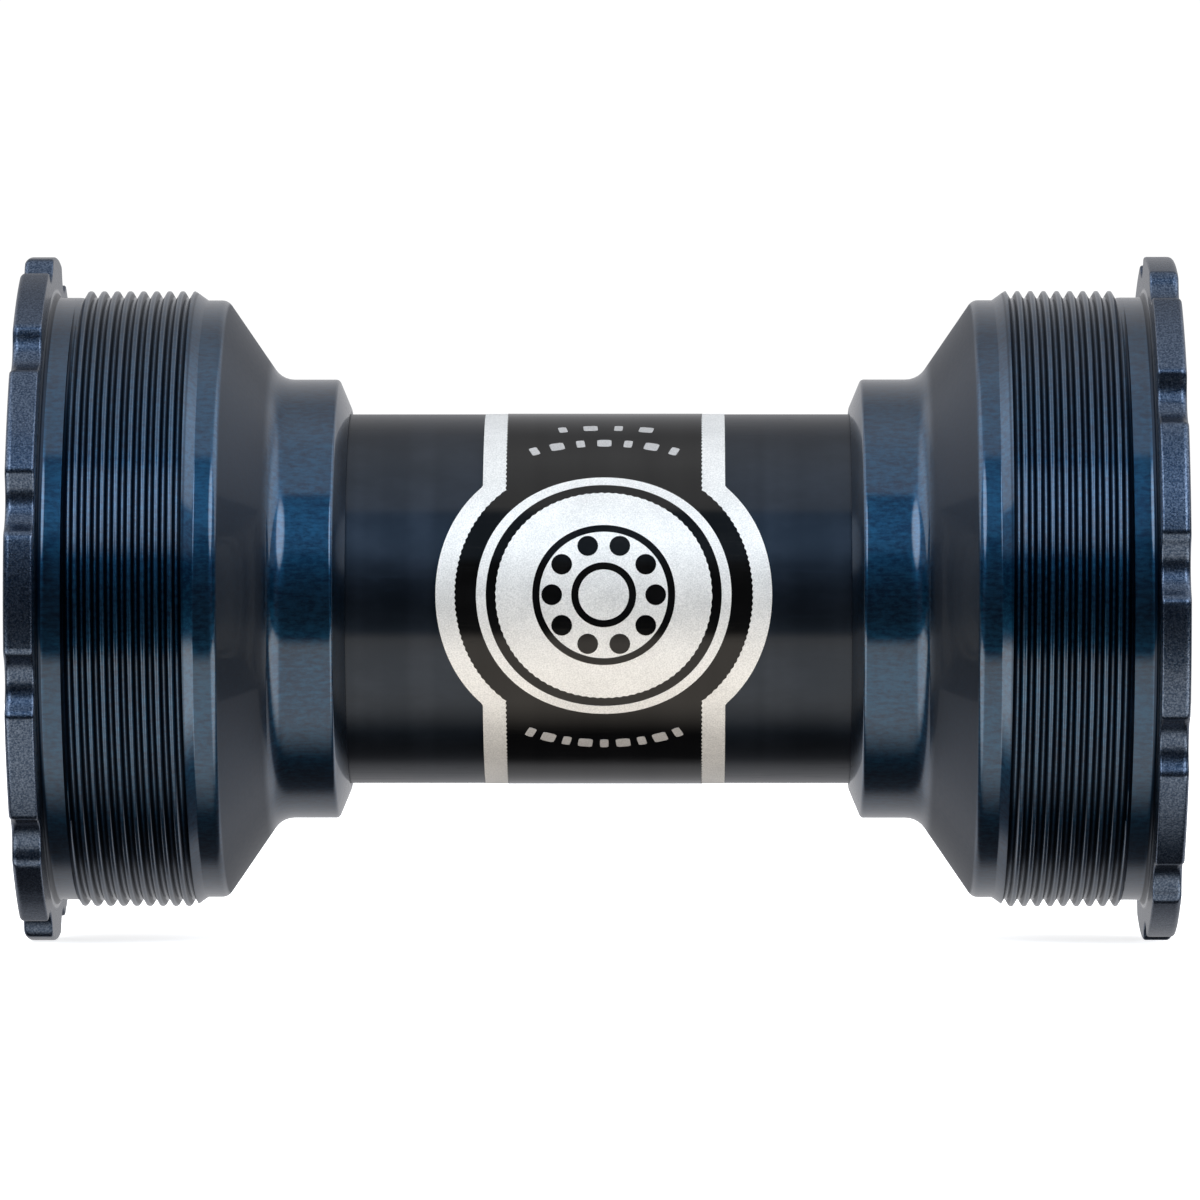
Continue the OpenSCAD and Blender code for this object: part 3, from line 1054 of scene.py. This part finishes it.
    def _bores(self) -> list[Corner]:
        """Corners from the nose's tip through the bores to the mouth.

        Returns:
            The corners.
        """
        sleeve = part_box("inner_sleeve")[1]
        bore = sleeve[2] + self.sleeve_gap
        ring_in, ring_out = self.side.extent("o_ring")
        groove = self.side.reach("o_ring") + self.groove_gap
        groove_in, groove_out = ring_in - self.groove_room, ring_out + self.groove_room
        stop = sleeve[0] + self.sleeve_room
        bearing_in = self.side.extent("outer_race")[0]
        seat = self.side.reach("outer_race")
        passage_end = stop + self.passage_length
        cover_in = bearing_in + self.bearing_seat_length
        return [
            Corner(bore + self.nose_chamfer + self.nose_land, self.inboard),
            Corner(bore + self.nose_chamfer, self.inboard),
            Corner(bore, self.inboard + self.nose_chamfer),
            Corner(bore, groove_in),
            Corner(groove, groove_in),
            Corner(groove, groove_out),
            Corner(bore, groove_out),
            Corner(bore, stop),
            Corner(self.passage_radius, stop),
            Corner(self.passage_radius, passage_end),
            Corner(seat - self.race_step, passage_end + self.bell_length, 0.6 * MM),
            Corner(seat - self.race_step, bearing_in),
            Corner(seat, bearing_in),
            Corner(seat, cover_in),
            Corner(self.cover_seat_radius, cover_in),
            Corner(self.cover_seat_radius, self.outboard - self.mouth_chamfer),
        ]


@dataclass
class CupFittings:
    """What is held in a cup: dust cover, spindle bushing, O-ring and bearing."""

    shop: Workshop
    side: Side
    balls: int = 17
    ball_radius: float = 1.5875 * MM
    bearing_bore: float = 12.5 * MM
    spindle_bore: float = 12.025 * MM
    cover_gap: float = 0.4 * MM
    web_depth: float = 0.4 * MM
    cord_steps: int = 32
    parting_line: float = 0.012 * MM
    kept = {
        "outer_race": Finishes.RACE,
        "inner_race": Finishes.RACE,
        "ball_cage": Finishes.CAGE,
        "outboard_seal": Finishes.SEAL,
        "inboard_seal": Finishes.SEAL,
        "seal_snap_ring": Finishes.SPRING,
    }

    def make(self) -> None:
        """Make or dress every fitting."""
        self._dust_cover()
        self._bushing()
        self._o_ring()
        self._balls()
        for part, finish in self.kept.items():
            self.shop.dress(self.side.named(part), finish)

    def _turned(self, part: str, corners: Sequence[Corner], body: str,
                finish: Finish) -> None:
        """Turn one fitting and put it on its body.

        Args:
            part: The node that the piece stands for, without the side.
            corners: The outline's corners.
            body: The body's name without the side.
            finish: The finish.
        """
        node = self.side.named(part)
        mesh = self.shop.turned.turn(f"{node}_turned", rounded(corners), finish, self.side, columns=256)
        self.shop.publish(mesh, self.side.named(body), finish, [node])

    def _dust_cover(self) -> None:
        """Cover with a raised rim, a recessed web with a shallow groove, and a thin lip."""
        inboard, outboard = self.side.extent("dust_cover")
        seat = self.side.reach("dust_cover")
        hole = self.side.reach("spindle_bushing") + self.cover_gap
        web = outboard - self.web_depth
        groove = [(1.5 * MM, 0.0), (1.7 * MM, 0.2 * MM), (2.1 * MM, 0.2 * MM), (2.3 * MM, 0.0)]
        corners = [
            Corner(hole, inboard + 0.2 * MM),
            Corner(hole, web, 0.25 * MM),
            *(Corner(hole + out, web - sunk, 0.06 * MM) for out, sunk in groove),
            Corner(seat - 1.7 * MM, web, 0.2 * MM),
            Corner(seat - 1.3 * MM, outboard, 0.2 * MM),
            Corner(seat, outboard, 0.3 * MM),
            Corner(seat, inboard),
            Corner(hole + 1.6 * MM, inboard),
            Corner(hole + 1.2 * MM, inboard + 0.2 * MM),
        ]
        self._turned("dust_cover", corners, "cup_group", Finishes.COVER)

    def _bushing(self) -> None:
        """Top-hat bushing with a rounded flange and a lead-in chamfer."""
        inboard, outboard = self.side.extent("spindle_bushing")
        flange = self.side.reach("spindle_bushing")
        flange_in = self.side.extent("outer_race")[1]
        corners = [
            Corner(self.spindle_bore + 0.2 * MM, inboard),
            Corner(self.spindle_bore, inboard + 0.2 * MM),
            Corner(self.spindle_bore, outboard - 0.45 * MM),
            Corner(self.spindle_bore + 0.45 * MM, outboard, 0.08 * MM),
            Corner(flange, outboard, 0.4 * MM),
            Corner(flange, flange_in),
            Corner(self.bearing_bore, flange_in),
            Corner(self.bearing_bore, inboard, 0.06 * MM),
        ]
        self._turned("spindle_bushing", corners, "inner_race_group", Finishes.BUSHING)

    def _o_ring(self) -> None:
        """Round cord with the thin parting line of its mould."""
        inboard, outboard = self.side.extent("o_ring")
        cord = (outboard - inboard) / 2
        centre = Vector(((inboard + outboard) / 2, self.side.reach("o_ring") - cord))
        points = []
        for step in range(self.cord_steps):
            angle = FULL_TURN * step / self.cord_steps
            raised = step % (self.cord_steps // 2) == 0
            reach = cord - self.parting_line + self.parting_line * raised
            points.append(RingPoint(centre.x + reach * math.cos(angle), centre.y + reach * math.sin(angle)))
        node = self.side.named("o_ring")
        mesh = self.shop.turned.turn(f"{node}_cord", points, Finishes.O_RING, self.side, columns=160)
        self.shop.publish(mesh, self.side.named("o_ring_group"), Finishes.O_RING, [node], crease=60.0)

    def _balls(self) -> None:
        """Set of balls between the races."""
        node = self.side.named("balls")
        inboard, outboard = self.side.extent("balls")
        values = {
            "Balls": self.balls,
            "Pitch Radius": (self.side.reach("outer_race") + self.bearing_bore) / 2,
            "Ball Radius": self.ball_radius,
            "Station": self.side.value * (inboard + outboard) / 2,
        }
        mesh = self.shop.balls.run(f"{node}_set", bpy.data.meshes.new("point"), Finishes.BALL, values)
        self.shop.publish(mesh, self.side.named("ball_group"), Finishes.BALL, [node], crease=60.0)


@dataclass
class InnerSleeve:
    """Thin gloss black tube between the cups."""

    shop: Workshop
    wall: float = 1.2 * MM
    edge: float = 0.3 * MM
    inner_edge: float = 0.2 * MM

    def make(self) -> None:
        """Turn the sleeve."""
        low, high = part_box("inner_sleeve")
        outer = high[2]
        inner = outer - self.wall
        corners = [
            Corner(inner, low[0] + self.inner_edge),
            Corner(inner, high[0] - self.inner_edge),
            Corner(inner + self.inner_edge, high[0]),
            Corner(outer - self.edge, high[0], 0.05 * MM),
            Corner(outer, high[0] - self.edge, 0.1 * MM),
            Corner(outer, low[0] + self.edge, 0.1 * MM),
            Corner(outer - self.edge, low[0], 0.05 * MM),
            Corner(inner + self.inner_edge, low[0]),
        ]
        points = rounded(corners)
        mesh = self.shop.turned.turn("inner_sleeve_tube", points, Finishes.SLEEVE, Side.DRIVE, columns=360)
        self.shop.publish(mesh, "sleeve_group", Finishes.SLEEVE, ["inner_sleeve"])


@dataclass(frozen=True)
class Film:
    """A flat printed shape as closed sections of (across, along, height) points.

    Its last section joins its first where it is whole, and it has no inner wall where it is solid.
    """

    sections: list[list[Vector]]
    whole: bool
    solid: bool

    def faces(self, first: int) -> list[tuple[int, int, int, int]]:
        """Faces between neighbouring sections.

        Args:
            first: Number of the shape's first point.

        Returns:
            The faces, as numbers of points.
        """
        count, size = len(self.sections), len(self.sections[0])
        faces = []
        for number in range(count if self.whole else count - 1):
            near = first + number * size
            far = first + (number + 1) % count * size
            for corner in range(size - 1 if self.solid else size):
                after = (corner + 1) % size
                faces.append((near + corner, far + corner, far + after, near + after))
        return faces


@dataclass(frozen=True)
class Patch:
    """A flat ellipse or rounded bar, whole or as a ring, whose hole is a share of its size."""

    across: float
    along: float
    half_width: float
    half_height: float
    power: float = 2.0
    hole: float = 0.0
    turn: float = 0.0
    jag: float = 0.0
    fewest_sides: int = 20
    side_length: float = 0.28 * MM
    row_length: float = 0.5 * MM

    def film(self, low: float, high: float) -> Film:
        """The patch as a film, with one section for each direction from its centre.

        Args:
            low: Height of the underside.
            high: Height of the top.

        Returns:
            The film.
        """
        size = max(self.half_width, self.half_height)
        sides = max(self.fewest_sides, int(FULL_TURN * size / self.side_length))
        rows = max(1, math.ceil(size * (1 - self.hole) / self.row_length))
        shares = [self.hole + (1 - self.hole) * row / rows for row in range(rows + 1)]
        centre = Vector((self.across, self.along, 0.0))
        sections = []
        for number in range(sides):
            angle = FULL_TURN * number / sides
            wide = abs(math.cos(angle) / self.half_width) ** self.power
            tall = abs(math.sin(angle) / self.half_height) ** self.power
            reach = (wide + tall) ** (-1 / self.power) + self.jag * (-1) ** number
            way = Vector((math.cos(angle + self.turn), math.sin(angle + self.turn), 0.0)) * reach
            under = [centre + way * share + Vector((0, 0, low)) for share in shares]
            over = [centre + way * share + Vector((0, 0, high)) for share in reversed(shares)]
            sections.append([*under, *over])
        return Film(sections, whole=True, solid=self.hole == 0.0)


@dataclass
class SleeveLabel:
    """Label round the sleeve: silver edging, black panel, and a round badge with a plain bearing mark."""

    shop: Workshop
    shift: float = 0.4 * MM
    turn: float = math.radians(1.2)
    film: float = 0.03 * MM
    ink: float = 0.02 * MM
    thin_ink: float = 0.015 * MM
    band_half: float = 9.1 * MM
    badge_radius: float = 12.6 * MM
    panel_half: float = 7.35 * MM
    panel_badge: float = 11.15 * MM
    ring_outer: float = 9.56 * MM
    ring_inner: float = 8.83 * MM
    disc_radius: float = 8.1 * MM
    jag: float = 0.045 * MM
    step: float = 0.22 * MM
    mark_balls: int = 10
    mark_ball_radius: float = 0.78 * MM
    mark_outer: float = 0.66
    mark_inner: float = 0.30
    bar_rows: tuple[tuple[float, float, int, float], ...] = (
        (15.9 * MM, 0.20, 4, 1.0),
        (13.5 * MM, 0.40, 7, 1.0),
        (12.7 * MM, 0.45, 9, -1.0),
    )
    bar_halves: Limits = (0.32 * MM, 0.54 * MM)
    bar_half_height: float = 0.46 * MM
    bar_squareness: float = 8.0

    def __post_init__(self) -> None:
        """Take the tube's outer radius from the CAD sleeve."""
        self.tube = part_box("inner_sleeve")[1][2]

    def make(self) -> None:
        """Lay the label's films and prints on each other."""
        print_low = self.film + self.ink
        print_high = print_low + self.thin_ink
        top = print_high + self.thin_ink
        foil = self._band(self.band_half, self.badge_radius, 0.0, 0.0, self.film)
        black = self._band(self.panel_half, self.panel_badge, self.jag, self.film, print_low)
        disc = [
            Patch(0.0, 0.0, self.ring_outer, self.ring_outer, hole=self.ring_inner / self.ring_outer),
            Patch(0.0, 0.0, self.disc_radius, self.disc_radius, jag=0.7 * self.jag),
        ]
        silver = [patch.film(print_low, print_high) for patch in disc]
        grey = [patch.film(print_low, print_high) for patch in self._index_marks()]
        emblem = [patch.film(print_high, top) for patch in self._bearing_mark()]
        self._lay("label_foil_band", [foil], Finishes.SILVER_PRINT, ["sleeve_label"])
        self._lay("label_black_panel", [black], Finishes.BLACK_PRINT)
        self._lay("label_badge_disc", silver, Finishes.SILVER_PRINT)
        self._lay("label_index_marks", grey, Finishes.MARK_PRINT)
        self._lay("label_bearing_mark", emblem, Finishes.BLACK_PRINT)

    def _band(self, half: float, badge: float, jag: float, low: float, high: float) -> Film:
        """A band that swells into a round badge, all the way round the tube.

        Args:
            half: Half the band's width.
            badge: Radius of the badge.
            jag: Height of the teeth along the edge.
            low: Height of the underside.
            high: Height of the top.

        Returns:
            The film, whose last section lies on its first once it is wrapped.
        """
        count = 2 * round(math.pi * self.tube / self.step)
        sections = []
        for number in range(count):
            along = self.tube * FULL_TURN * (number / count - 0.5)
            swell = math.sqrt(max(badge * badge - along * along, 0.0))
            reach = max(half, swell) + jag * (-1) ** number
            loop = [(-reach, low), (reach, low), (reach, high), (-reach, high)]
            sections.append([Vector((across, along, height)) for across, height in loop])
        sections.append([Vector((point.x, -point.y, point.z)) for point in sections[0]])
        return Film(sections, whole=False, solid=False)

    def _bearing_mark(self) -> list[Patch]:
        """Plain mark of a bearing: two rings with balls between them.

        Returns:
            The mark's patches.
        """
        outer = self.mark_outer * self.disc_radius
        inner = self.mark_inner * self.disc_radius
        pitch = (outer + inner) / 2
        patches = [Patch(0.0, 0.0, outer, outer, hole=0.9), Patch(0.0, 0.0, inner, inner, hole=0.78)]
        for number in range(self.mark_balls):
            angle = FULL_TURN * number / self.mark_balls
            place = (pitch * math.cos(angle), pitch * math.sin(angle))
            patches.append(Patch(*place, self.mark_ball_radius, self.mark_ball_radius))
        return patches

    def _index_marks(self) -> list[Patch]:
        """Rows of plain bars above and below the badge, on arcs round its centre.

        A row has its arc's radius, half its spread, its number of bars, and 1 above or -1 below.

        Returns:
            The bars.
        """
        bars = []
        for arc, spread, count, way in self.bar_rows:
            for number in range(count):
                lean = spread * (2 * number / (count - 1) - 1)
                place = (arc * math.sin(lean), way * arc * math.cos(lean))
                size = (self.bar_halves[number % 2], self.bar_half_height)
                bars.append(Patch(*place, *size, self.bar_squareness, turn=-way * lean))
        return bars

    def _lay(self, name: str, films: Sequence[Film], finish: Finish,
             replaced: Sequence[str] = ()) -> None:
        """Join flat films, wrap them round the tube and put them on the sleeve.

        Args:
            name: The piece's name.
            films: The films.
            finish: The finish.
            replaced: CAD nodes that the piece stands for.
        """
        points: list[tuple[float, float, float]] = []
        faces: list[tuple[int, int, int, int]] = []
        for film in films:
            faces += film.faces(len(points))
            points += [tuple(point) for section in film.sections for point in section]
        flat = bpy.data.meshes.new(f"{name}_flat")
        flat.from_pydata(points, [], faces)
        values = {"Tube Radius": self.tube, "Turn": self.turn, "Shift": self.shift}
        mesh = self.shop.wrap.run(name, flat, finish, values)
        self.shop.publish(mesh, "sleeve_group", finish, replaced)


# ----------------------------------------------------------------------- studio


@dataclass(frozen=True)
class LightPanel:
    """A long panel of light beside the spindle axis, as seen from the object.

    It runs between two turns in degrees, each with the width over which its edge fades.
    """

    start: float
    end: float
    colour: Colour
    start_fade: float = 6.0
    end_fade: float = 6.0

    def share(self, graph: Graph, turn: Term) -> Term:
        """How much of the panel is seen in a direction.

        Args:
            graph: The world's graph.
            turn: The direction's turn about the axis, in degrees.

        Returns:
            The share, from 0 to 1.
        """
        middle = (self.start + self.end) / 2
        half = (self.end - self.start) / 2
        off = turn - middle
        near = off - 360.0 * graph.math("ROUND", off / 360.0)
        rise = graph.fade(near, -half - self.start_fade / 2, -half + self.start_fade / 2)
        fall = graph.fade(near, half + self.end_fade / 2, half - self.end_fade / 2)
        return rise * fall


@dataclass
class Studio:
    """Plain pale floor, soft panels of light and the camera.

    A pair that ends in _fade is where a share is 0 and where it is 1: shares of a direction's length
    along the spindle or up, and degrees away from a side box's middle.
    """

    distance: float = 0.66
    azimuth: float = math.radians(0.5)
    aim_height: float = -0.1 * MM
    lens: float = 259.0
    floor_size: float = 3.0
    panels: tuple[LightPanel, ...] = (
        LightPanel(56.0, 236.0, (0.42, 0.42, 0.43), 5.0, 14.0),
        LightPanel(56.0, 108.0, (0.58, 0.58, 0.58), 5.0, 34.0),
        LightPanel(24.0, 56.0, (0.15, 0.23, 0.33), 7.0, 5.0),
        LightPanel(-79.0, -23.0, (1.50, 1.36, 1.20), 30.0, 7.0),
    )
    gloom: Colour = (0.05, 0.05, 0.055)
    flag_across_fade: Limits = (0.72, 0.88)
    flag_up_fade: Limits = (0.25, 0.16)
    flag_share: float = 0.9
    wing_fade: Limits = (0.42, 0.62)
    wing_gain: float = 1.1
    side_box: tuple[float, float, float] = (0.42, -0.73, 0.54)
    side_fade: Limits = (20.0, 12.0)
    side_colour: Colour = (4.2, 4.4, 4.6)
    backdrop: float = 1.05

    def make(self) -> None:
        """Set up the light, the floor and the camera."""
        self._light()
        self._floor()
        self._camera()
        bpy.context.scene.view_settings.view_transform = "Standard"

    def _light(self) -> None:
        """World of soft panels round the axis, white where the camera looks past the object."""
        world = bpy.data.worlds.new("studio_light")
        bpy.context.scene.world = world
        world.use_nodes = True
        world.node_tree.nodes.clear()
        graph = Graph(world.node_tree)
        across, away, up = graph.split(graph.add("ShaderNodeTexCoord", {}, {}, "Generated"))
        turn = graph.math("ARCTAN2", up, -away) * (180 / math.pi)
        total: list[Term | float] = list(self.gloom)
        for panel in self.panels:
            lit = panel.share(graph, turn)
            total = [so_far + lit * part for so_far, part in zip(total, panel.colour)]
        flag = graph.fade(abs(across), *self.flag_across_fade) * graph.fade(abs(up), *self.flag_up_fade)
        wing = graph.fade(abs(across), *self.wing_fade)
        shade = (1.0 - flag * self.flag_share) * (1.0 + self.wing_gain * wing)
        wide, deep, tall = self.side_box
        towards = abs(across) * wide + away * deep + up * tall
        box = graph.fade(towards, *(math.cos(math.radians(angle)) for angle in self.side_fade))
        colour = graph.vector(*(part * shade + box * tint for part, tint in zip(total, self.side_colour)))
        light = graph.add("ShaderNodeBackground", {}, {"Color": colour, "Strength": 1.0})
        plain = {"Color": (1.0, 1.0, 1.0, 1.0), "Strength": self.backdrop}
        white = graph.add("ShaderNodeBackground", {}, plain)
        seen = graph.add("ShaderNodeLightPath", {}, {}, "Is Camera Ray")
        mixed = graph.add("ShaderNodeMixShader", {}, {0: seen, 1: light, 2: white})
        graph.node("ShaderNodeOutputWorld", {}, {"Surface": mixed})

    def _floor(self) -> None:
        """Pale matt floor under the flanges, kept out of the object's reflections."""
        half = self.floor_size / 2
        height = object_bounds()[0][2]
        mesh = bpy.data.meshes.new("studio_floor")
        corners = [(x * half, y * half, height) for x, y in ((-1, -1), (1, -1), (1, 1), (-1, 1))]
        mesh.from_pydata(corners, [], [(0, 1, 2, 3)])
        material = bpy.data.materials.new("studio_floor_paint")
        graph = SurfaceGraph(material)
        clouds = graph.noise(14.0, 3.0)
        graph.close({
            "Base Color": graph.colour_mix(clouds, (0.86, 0.86, 0.86), (0.90, 0.90, 0.90)),
            "Roughness": 0.8 + (clouds - 0.5) * 0.1,
            "Specular IOR Level": 0.1,
            "Emission Color": (1.0, 1.0, 1.0, 1.0),
            "Emission Strength": 0.8,
        })
        mesh.materials.append(material)
        floor = new_object("studio_floor", mesh)
        floor.visible_glossy = False
        floor.visible_diffuse = False
        floor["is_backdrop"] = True

    def _camera(self) -> None:
        """Long lens at the height of the spindle axis."""
        data = bpy.data.cameras.new("studio_camera")
        data.lens = self.lens
        data.sensor_width = 36.0
        data.clip_start = 0.01
        data.clip_end = 20.0
        camera = new_object("studio_camera", data)
        aim = Vector((0.0, 0.0, self.aim_height))
        away = Vector((math.sin(self.azimuth), -math.cos(self.azimuth), 0.0))
        camera.location = aim + away * self.distance
        camera.rotation_euler = (-away).to_track_quat("-Z", "Y").to_euler()
        bpy.context.scene.camera = camera


def main() -> None:
    """Make the bottom bracket piece by piece, then the studio."""
    logging.basicConfig(level=logging.INFO, format="%(message)s")
    shop = Workshop()
    ThreadedCup(shop, Side.DRIVE, math.radians(5.1)).make()
    ThreadedCup(shop, Side.NON_DRIVE, math.radians(15.8)).make()
    for side in Side:
        CupFittings(shop, side).make()
    InnerSleeve(shop).make()
    SleeveLabel(shop).make()
    Studio().make()


if __name__ == "__main__":
    main()
